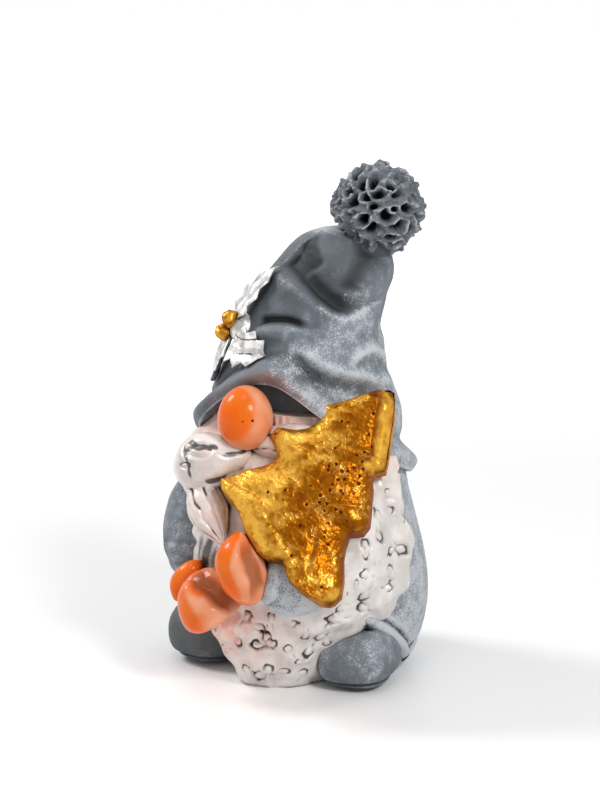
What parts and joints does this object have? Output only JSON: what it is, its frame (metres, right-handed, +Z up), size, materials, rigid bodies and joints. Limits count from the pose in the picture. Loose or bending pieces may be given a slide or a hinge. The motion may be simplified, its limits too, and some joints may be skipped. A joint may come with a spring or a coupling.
{
  "type": "gnome figurine",
  "caption": "Cast plaster gnome with a slouched hat, a scaly pompon, a curly beard, a holly sprig and a gold fir tree held in mittened hands.",
  "frame": {"origin": "on the flat underside, on the upright axis of the coat, where the figurine stands on a shelf", "axes": "+Z up, the gnome faces -Y, and its own left hand is on +X"},
  "size_m": [0.0757, 0.0868, 0.148],
  "materials": {
    "grey_paint": "matt blue-grey paint with a dark wash and whitish dry brushing",
    "white_paint": "satin off-white paint with a dark wash in the curls",
    "orange_enamel": "glossy orange enamel that fades to peach",
    "gold_paint": "crinkled gold leaf paint",
    "silver_paint": "silver-white paint with dark lines"
  },
  "bodies": {
    "root": {"gnome_figurine": "grey_paint"}
  },
  "joints": []
}
